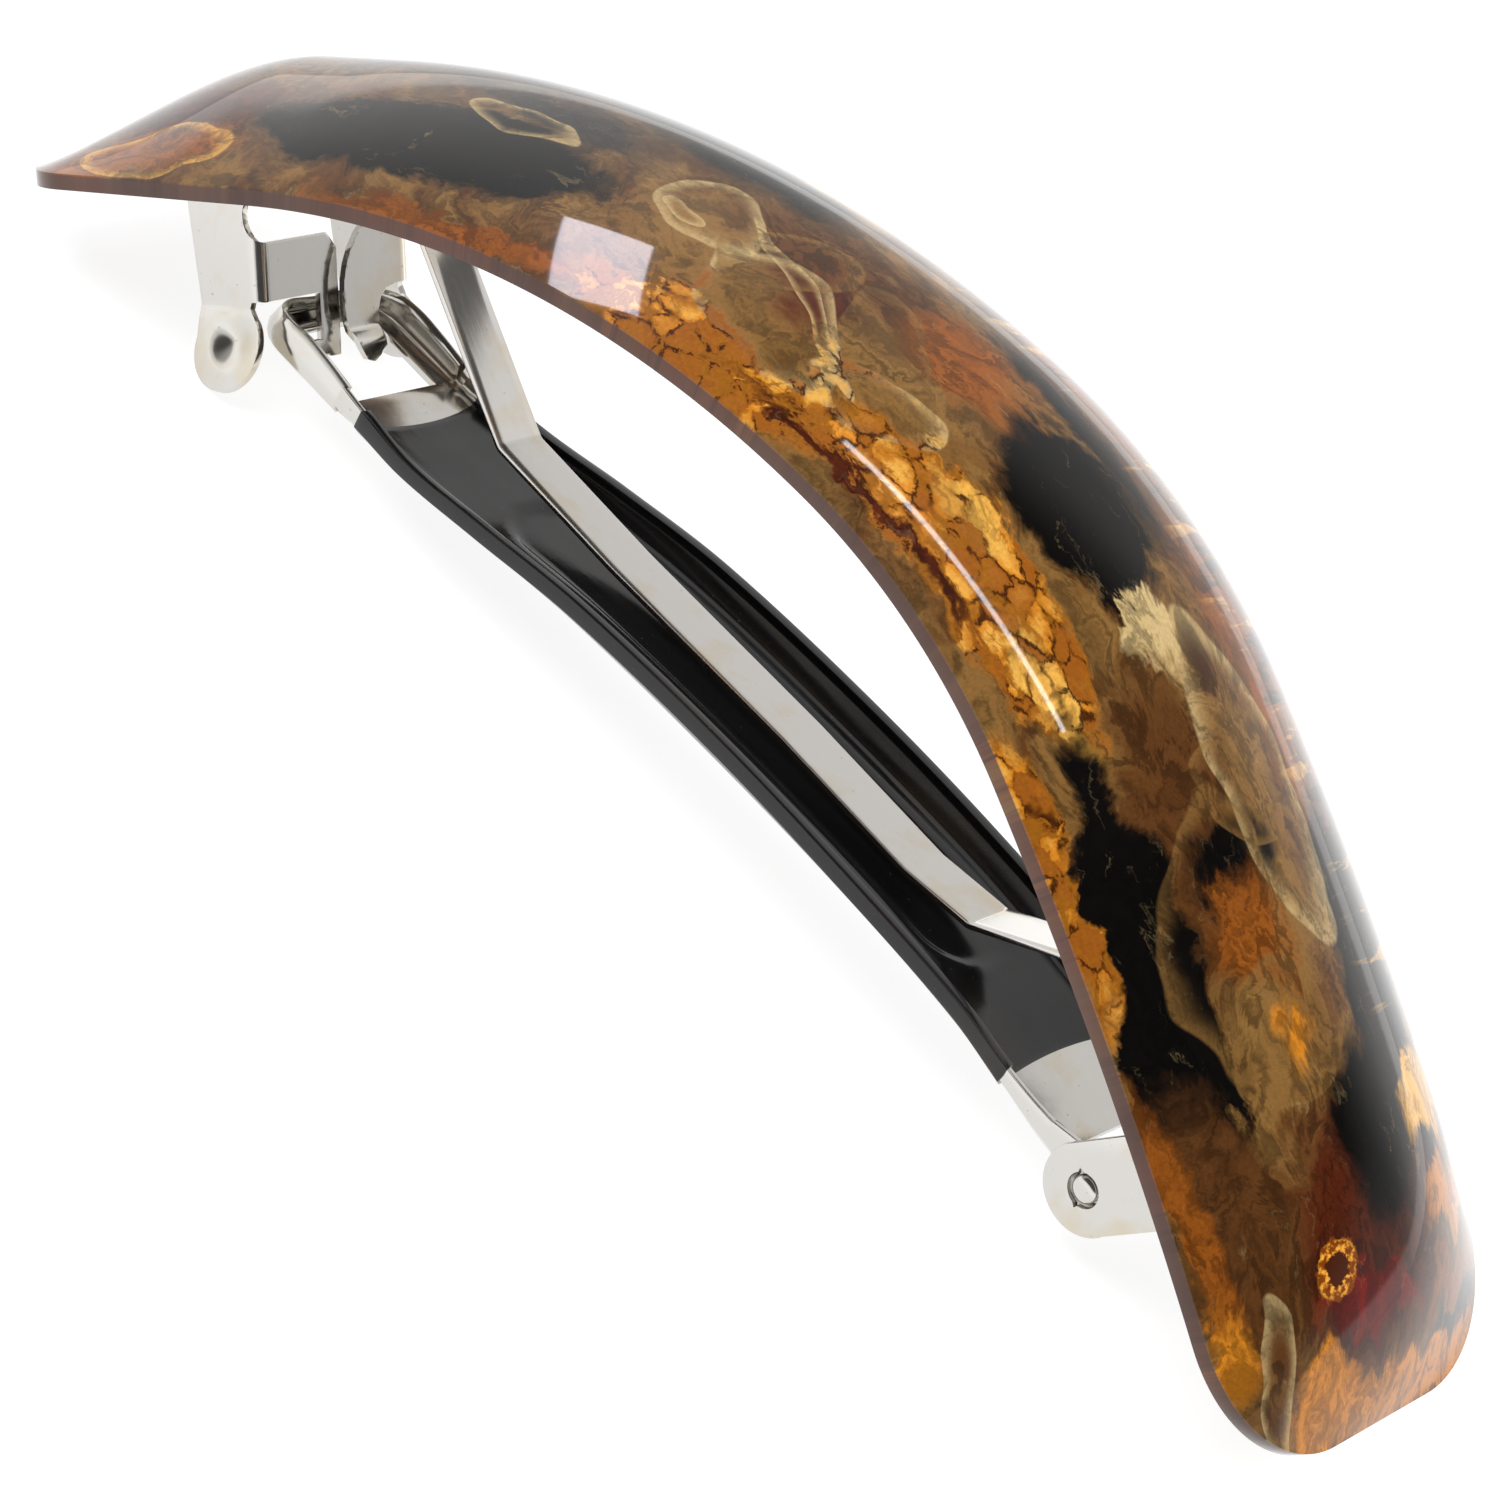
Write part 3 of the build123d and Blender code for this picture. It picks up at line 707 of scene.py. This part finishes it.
def make_shoulders():
    """Wings of the base plate that reach out to the latch wings and hinge ears."""
    ear_middle = HINGE_STATION + EAR_SWEEP
    spans = {
        "latch_shoulder": (LATCH_STATION - 5.2, LATCH_STATION + 0.4),
        "hinge_shoulder": (ear_middle - EAR_R, ear_middle + EAR_R),
    }
    count = 12
    depth = BASE_SHEET / 2 + SHOULDER_DROP
    for name, (start, end) in spans.items():
        points = []
        for i in range(count + 1):
            s = start + (end - start) * i / count
            points += [placed(s, 0, SIDE_MID * (j / 5 - 1), depth) for j in range(11)]
        piece = new_mesh(name, points, grid_faces(count + 1, 11), BASE_BODY, NICKEL)
        finish_sheet(piece, BASE_SHEET - 0.06, 0.10)


def make_ears():
    """Two hinge ears with a staked hole round the pin."""
    tilt = -atan2(EAR_SWEEP, PIN_N) * 180 / pi
    outline = [(-EAR_R + EAR_SWEEP, SHEET_TOP), (EAR_R + EAR_SWEEP, SHEET_TOP)]
    outline += arc_points((0, PIN_N), EAR_R, tilt, 180 + tilt, 28)
    hole_r, nick, nick_places, count = 0.96, 0.20, (7, 26), 48
    hole = []
    for i in range(count):
        angle = 2 * pi * i / count
        radius = hole_r + (nick if i in nick_places else 0.0)
        hole.append((radius * cos(angle), PIN_N + radius * sin(angle)))
    for side, name in ((-1, "near_ear"), (1, "far_ear")):
        bm = plate_with_hole(outline, hole)
        bmesh.ops.join_triangles(bm, faces=bm.faces, angle_face_threshold=3.1, angle_shape_threshold=3.1)
        points, faces = points_and_faces(bm, lambda t, n: placed(HINGE_STATION, t, side * SIDE_MID, n))
        ear = new_mesh(name, points, faces, BASE_BODY, NICKEL)
        finish_sheet(ear, SHEET, 0.09)


def make_lances():
    """Pressed straps that hold the bow spring's feet."""
    low = BASE_SHEET + BOW_SHEET + 0.25 + SHEET / 2
    half_strap = [(2.05, low), (2.25, 0.62), (3.4, 0.6)]
    strap = [(-y, n) for y, n in reversed(half_strap)] + half_strap
    profile = filleted(strap, 0.22, 5)
    for name, s in LANCES:
        points = [placed(s, t, y, n) for t in (-0.8, -0.4, 0, 0.4, 0.8) for y, n in profile]
        piece = new_mesh(name, points, grid_faces(5, len(profile)), BASE_BODY, NICKEL)
        finish_sheet(piece, SHEET - 0.05, 0.07)


def make_pin():
    """Hinge pin with domed ends."""
    end = [(5.15, PIN_R), (5.2, 0.78), (5.46, 0.75), (5.58, 0.62), (5.64, 0.40), (5.66, 0.0)]
    profile = [(-y, radius) for y, radius in reversed(end)] + end
    count = 40
    points = []
    for y, radius in profile:
        for i in range(count):
            angle = 2 * pi * i / count
            points.append(placed(HINGE_STATION, radius * cos(angle), y, PIN_N + radius * sin(angle)))
    faces = grid_faces(len(profile), count, closed=True)
    pin = new_mesh("pin", points, faces, BASE_BODY, NICKEL)
    bm = bmesh.new()
    bm.from_mesh(pin.data)
    bmesh.ops.remove_doubles(bm, verts=bm.verts, dist=1e-7)
    bm.to_mesh(pin.data)
    bm.free()
    finish_sheet(pin, 0, 0.03, smooth=50)
    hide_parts("hinge_pin")


# ---------------------------------------------------------------- latch wings
BEND_R = 0.5
WING_BEND, PADDLE_LEAN, PADDLE_R = 6.6, radians(20), 2.5
PADDLE_T, PADDLE_N = -1.55, 9.05
NOTCH_T, NOTCH_N, NOTCH_R = 0.9, 1.75, 1.5
WING_LEFT = -5.0
FLAP_N = (3.2, 6.5)         # where the flap leaves the tab
LEAN_START = 0.9            # length over which the paddle's lean comes in
DISH_AT, DISH_R, DISH_DEPTH = (0.35, -0.45), 2.0, 0.42
BARB_N, BARB_LENGTH = 8.7, 0.8
PADDLE_REACH = 1.6          # the paddle's part of the sheet, beyond the bend
# outlines of the two flaps: y from the middle, n below the bar
NEAR_FLAP = [
    (0.2, 3.2), (-0.5, 4.1), (-0.5, 10.2), (0.2, 10.2),
    (2.9, 9.6), (2.9, 9.25), (0.95, 9.25), (0.95, 6.5),
]
FAR_FLAP = [
    (2.9, 2.0), (2.2, 2.6), (1.45, 3.3), (0.85, 4.1), (0.42, 5.0), (0.18, 5.9),
    (0.1, 6.9), (0.16, 7.9), (0.4, 8.8), (0.8, 9.7), (1.3, 10.5), (1.9, 10.7),
    (2.4, 10.35), (2.9, 9.9), (2.75, 8.9), (2.78, 7.9), (3.0, 7.2), (3.5, 6.75), (4.2, 6.55),
]


def wing_outline(bend_t, flap):
    """Flat pattern of a wing: u runs along the tab, round the bend and across the flap."""
    quarter = BEND_R * pi / 2
    paddle_u = PADDLE_T - bend_t
    paddle_n = WING_BEND + (PADDLE_N - WING_BEND) / cos(PADDLE_LEAN)
    notch_u = NOTCH_T - bend_t
    left = WING_LEFT - bend_t
    start = 180 + asin((NOTCH_N - 0.9) / NOTCH_R) * 180 / pi
    stop = 180 - asin((FLAP_N[0] - NOTCH_N) / NOTCH_R) * 180 / pi
    outline = [(left, SHEET_TOP), (notch_u - NOTCH_R * 0.85, SHEET_TOP)]
    outline += arc_points((notch_u, NOTCH_N), NOTCH_R, start, stop, 12)
    outline += [(quarter + (SIDE_MID - BEND_R - y), n) for y, n in flap]
    outline += [(0.0, FLAP_N[1]), (-0.12, 6.9)]
    outline += arc_points((paddle_u, paddle_n), PADDLE_R, -38, 190, 40)
    return outline, (paddle_u, paddle_n)


def make_wing(name, node, side, bend_t, flap, body, barb_depth):
    """Wing bent from one sheet: tab, leaning dished paddle, bend and flap."""
    outline, paddle = wing_outline(bend_t, flap)
    cells, faces = flat_pattern(outline, 0.22)
    quarter = BEND_R * pi / 2
    points = []
    for u, n in cells:
        if u <= 0:
            t, y = bend_t + u, SIDE_MID
        elif u < quarter:
            t = bend_t + BEND_R * sin(u / BEND_R)
            y = SIDE_MID - BEND_R * (1 - cos(u / BEND_R))
        else:
            t, y = bend_t + BEND_R, SIDE_MID - BEND_R - (u - quarter)
        on_paddle = n > WING_BEND and u < PADDLE_REACH
        if on_paddle or u < quarter * 0.5:
            past = max(n - WING_BEND, 0)
            lean = past * sin(PADDLE_LEAN) * smooth_step(past / LEAN_START)
            n_real = min(n, WING_BEND) + past * cos(PADDLE_LEAN)
            away = hypot(u - paddle[0] - DISH_AT[0], n - paddle[1] - DISH_AT[1]) / DISH_R
            dish = DISH_DEPTH * (1 - smooth_step(away))
            if n > WING_BEND:
                t, y = bend_t + u, SIDE_MID
            y += lean - dish
        else:
            n_real = n
            t += barb_depth * smooth_step((n - BARB_N) / BARB_LENGTH)
        points.append(placed(LATCH_STATION, t, side * y, n_real))
    wing = new_mesh(name, points, faces, body, NICKEL)
    finish_sheet(wing, SHEET, 0.07, smooth=30)
    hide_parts(node)


# ---------------------------------------------------------------- bow spring
def make_bow():
    """Leaf spring with two feet, two legs and a nearly flat back."""
    foot_n = BASE_SHEET + 0.05 + BOW_SHEET / 2
    latch_foot, hinge_foot = [[underside(s, foot_n)[:2] for s in foot] for foot in BOW_FEET]
    back = [(x, z + APEX_Z) for x, z in BOW_BACK]
    route = filleted(latch_foot + back + hinge_foot, BOW_BEND, 10)
    points = [(x, BOW_HALF * (j / 3 - 1), z) for x, z in route for j in range(7)]
    bow = new_mesh("bow", points, grid_faces(len(route), 7), BASE_BODY, SPRING)
    finish_sheet(bow, BOW_SHEET, 0.07)
    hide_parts("bow_spring")


# ---------------------------------------------------------------- arm
def groove_depth(x, y):
    """How far the arm's long centre panel is pressed down."""
    low, high = GROOVE_SPAN
    distance = hypot(min(max(x, low), high) - x, y)
    return GROOVE_DEPTH * smooth_step((GROOVE_HALF - distance) / GROOVE_EDGE)


def arm_row(x, end_curve=0.0, extra=0.0):
    """Middle line of the arm's sheet at x, from the near rim to the far rim."""
    top, rim, floor, half, inset = between(ARM_STATIONS, x)
    wall = half - SHEET / 2
    low = floor + SHEET / 2
    flank = [(wall, top + extra), (wall, (top + rim) / 2), (wall, rim + 0.12)]
    flank += [(wall - 0.12 - 0.2 * inset, rim - 0.12)]
    flank += [(wall - inset * 0.75, low + 0.14), (wall - inset - 0.15, low + 0.02)]
    flat = wall - inset - 0.15
    middle = [(flat * (1 - j / 14), low) for j in range(1, 28)]
    profile = [(-y, z) for y, z in flank] + [(-y, z) for y, z in middle] + list(reversed(flank))
    return [(x + end_curve * (1 - (y / half) ** 2), y, z + APEX_Z - groove_depth(x, y)) for y, z in profile]


def arm_surface(name, span, step, material, end_curves=(0.0, 0.0), extra=0.0):
    """Channel surface of the arm between two places along it."""
    x_low, x_high = span
    low_curve, high_curve = end_curves
    count = int((x_high - x_low) / step)
    points = []
    for i in range(count + 1):
        x = x_low + (x_high - x_low) * i / count
        fade_low = smooth_step(1 - (x - x_low) / 4)
        fade_high = smooth_step(1 - (x_high - x) / 4)
        points += arm_row(x, low_curve * fade_low + high_curve * fade_high, extra)
    columns = len(points) // (count + 1)
    return new_mesh(name, points, grid_faces(count + 1, columns), ARM_BODY, material)


def make_arm():
    """Steel channel with the black coating over its middle."""
    channel = arm_surface("arm_channel", CHANNEL_SPAN, 0.7, NICKEL)
    finish_sheet(channel, SHEET, 0.08)
    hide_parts("arm")
    coat = arm_surface("arm_coat", COAT_SPAN, 0.5, BLACK_COAT, COAT_ENDS, COAT)
    finish_sheet(coat, SHEET + 2 * COAT, 0.2)
    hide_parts("arm_coating")


def loop_path(inset):
    """Plan of the latch loop at some distance inside its outer wall: points from near to far."""
    radius = max(LOOP_CORNER - inset, 0.15)
    x, y = LOOP_END + inset, LOOP_HALF - inset
    turn_x, turn_y = x + radius, y - radius
    path = [(LOOP_BACK + (turn_x - LOOP_BACK) * i / 14, -y) for i in range(15)]
    path += arc_points((turn_x, -turn_y), radius, 270, 180, 12)[1:]
    path += [(x, turn_y * (i / 4 - 1)) for i in range(1, 8)]
    path += arc_points((turn_x, turn_y), radius, 180, 90, 12)
    path += [(turn_x + (LOOP_BACK - turn_x) * i / 14, y) for i in range(1, 15)]
    return path


def make_loop():
    """Latch loop: a wall round the outside and a flange round the window."""
    paths = [loop_path(inset) for inset, _ in LOOP_SECTION]
    points = []
    for i in range(len(paths[0])):
        for (_, rise), path in zip(LOOP_SECTION, paths):
            x, y = path[i]
            top = between(LOOP_RIM, paths[0][i][0])[0]
            dip = LOOP_DIP * smooth_step(1 - abs(y) / DIP_HALF) * smooth_step(DIP_X - x)
            points.append((x, y, APEX_Z + LOOP_FLOOR + (top - dip - LOOP_FLOOR) * rise))
    faces = grid_faces(len(paths[0]), len(LOOP_SECTION))
    loop = new_mesh("arm_loop", points, faces, ARM_BODY, NICKEL)
    finish_sheet(loop, SHEET, 0.09)


def make_lugs():
    """Hinge lugs of the arm on the pin, with their inner ends inside the channel."""
    hinge_x, hinge_z, _ = underside(HINGE_STATION, PIN_N)
    outline = [(x, z + APEX_Z) for x, z in ((29.6, -20.85), (31.4, -20.55))]
    outline += arc_points((hinge_x, hinge_z), LUG_R, 110, -110, 24)
    outline += [(x, z + APEX_Z) for x, z in ((31.4, -22.3), (30.9, -21.8), (29.6, -21.8))]
    hole = arc_points((hinge_x, hinge_z), PIN_R + 0.05, 0, 350, 36)
    for side, name in ((-1, "near_lug"), (1, "far_lug")):
        y = side * (LUG_SIDE - SHEET / 2)
        points, faces = points_and_faces(plate_with_hole(outline, hole), lambda x, z: (x, y, z))
        lug = new_mesh(name, points, faces, ARM_BODY, NICKEL)
        finish_sheet(lug, SHEET, 0.06)


# ---------------------------------------------------------------- stage
CAMERA_RIGHT = Vector((0.64406, 0.64131, 0.41703))
CAMERA_UP = Vector((-0.66804, 0.20592, 0.71507))
CAMERA_BACK = Vector((0.37271, -0.73914, 0.56104))
CAMERA_PLACE = Vector((0.09384, -0.18219, 0.14277))
LENS_MM, SENSOR_MM = 110.8, 36
FLOOR_HALF = 1.5            # metres, like the places and sizes of the lights
LIGHT_TARGET = (0, 0, 0.02)
LIGHTS = [                  # name, place, width, height, power, seen in reflections, tint
    ("soft_patch", (-0.47, -0.10, 0.40), 0.15, 0.085, 0.55, True, (0.86, 0.86, 1.0)),
    ("strip", (-0.02, -0.27, 0.80), 0.70, 0.014, 0.5, True, (1, 1, 1)),
    ("key", (-0.25, -0.45, 0.75), 0.5, 0.5, 8.2, False, (1, 1, 1)),
    ("fill", (0.5, 0.3, 0.7), 0.5, 0.5, 6.0, False, (1, 1, 1)),
]
STUDIO = [                  # direction, where its glow starts and is full, strength
    ((0, 0, -1), -0.14, -0.09, 0.80),
    ((-0.45, 0.89, 0.25), 0.25, 0.70, 0.74),
    ((-0.98, -0.05, 0.2), 0.70, 0.90, 0.34),
    ((0.65, 0.74, 0.16), 0.72, 0.95, 0.42),
]
STUDIO_DARK = 0.07          # glow from every direction


def add_camera():
    data = bpy.data.cameras.new("camera")
    data.lens = LENS_MM
    data.sensor_width = SENSOR_MM
    data.clip_start = 0.01
    camera = bpy.data.objects.new("camera", data)
    turn = Matrix((CAMERA_RIGHT, CAMERA_UP, CAMERA_BACK)).transposed().to_4x4()
    camera.matrix_world = Matrix.Translation(CAMERA_PLACE) @ turn
    bpy.context.collection.objects.link(camera)
    bpy.context.scene.camera = camera


def add_floor():
    mesh = bpy.data.meshes.new("floor")
    corners = [(x * FLOOR_HALF, y * FLOOR_HALF, 0) for x, y in ((-1, -1), (1, -1), (1, 1), (-1, 1))]
    mesh.from_pydata(corners, [], [(0, 1, 2, 3)])
    mesh.materials.append(floor_material())
    floor = bpy.data.objects.new("floor", mesh)
    bpy.context.collection.objects.link(floor)


def add_area_light(name, place, width, height, power, in_reflections, tint):
    data = bpy.data.lights.new(name, "AREA")
    data.shape = "RECTANGLE"
    data.size, data.size_y = width, height
    data.energy = power
    data.color = tint
    light = bpy.data.objects.new(name, data)
    light.visible_glossy = in_reflections
    aim = (Vector(LIGHT_TARGET) - Vector(place)).normalized()
    light.matrix_world = Matrix.Translation(place) @ aim.to_track_quat("-Z", "Y").to_matrix().to_4x4()
    bpy.context.collection.objects.link(light)


def add_world():
    """Studio: white at the horizon, pale on the far side, dark overhead and behind the camera."""
    world = bpy.data.worlds.new("studio")
    bpy.context.scene.world = world
    world.use_nodes = True
    tree = world.node_tree
    direction = tree.nodes.new("ShaderNodeTexCoord").outputs["Generated"]

    def toward(axis, low, high, value):
        dot = tree.nodes.new("ShaderNodeVectorMath")
        dot.operation = "DOT_PRODUCT"
        tree.links.new(direction, dot.inputs[0])
        dot.inputs[1].default_value = Vector(axis).normalized()
        ramp = tree.nodes.new("ShaderNodeMapRange")
        ramp.interpolation_type = "SMOOTHSTEP"
        tree.links.new(dot.outputs["Value"], ramp.inputs[0])
        for socket, number in zip(ramp.inputs[1:5], (low, high, 0.0, value)):
            socket.default_value = number
        return ramp.outputs[0]

    glows = [toward(*glow) for glow in STUDIO]
    total = glows[0]
    for glow in glows[1:]:
        both = tree.nodes.new("ShaderNodeMath")
        tree.links.new(total, both.inputs[0])
        tree.links.new(glow, both.inputs[1])
        total = both.outputs[0]
    lifted = tree.nodes.new("ShaderNodeMath")
    tree.links.new(total, lifted.inputs[0])
    lifted.inputs[1].default_value = STUDIO_DARK
    background = tree.nodes["Background"]
    background.inputs[0].default_value = (1.0, 0.985, 0.97, 1)
    tree.links.new(lifted.outputs[0], background.inputs[1])


def build():
    make_bar()
    make_base_strip()
    make_shoulders()
    make_ears()
    make_lances()
    make_pin()
    make_wing("near_latch", "near_wing", -1, -0.25, NEAR_FLAP, NEAR_BODY, 0.0)
    make_wing("far_latch", "far_wing", 1, 0.6, FAR_FLAP, FAR_BODY, 0.45)
    make_bow()
    make_arm()
    make_loop()
    make_lugs()


build()
add_camera()
add_floor()
add_world()
for light_settings in LIGHTS:
    add_area_light(*light_settings)
bpy.context.scene.view_settings.view_transform = "Standard"
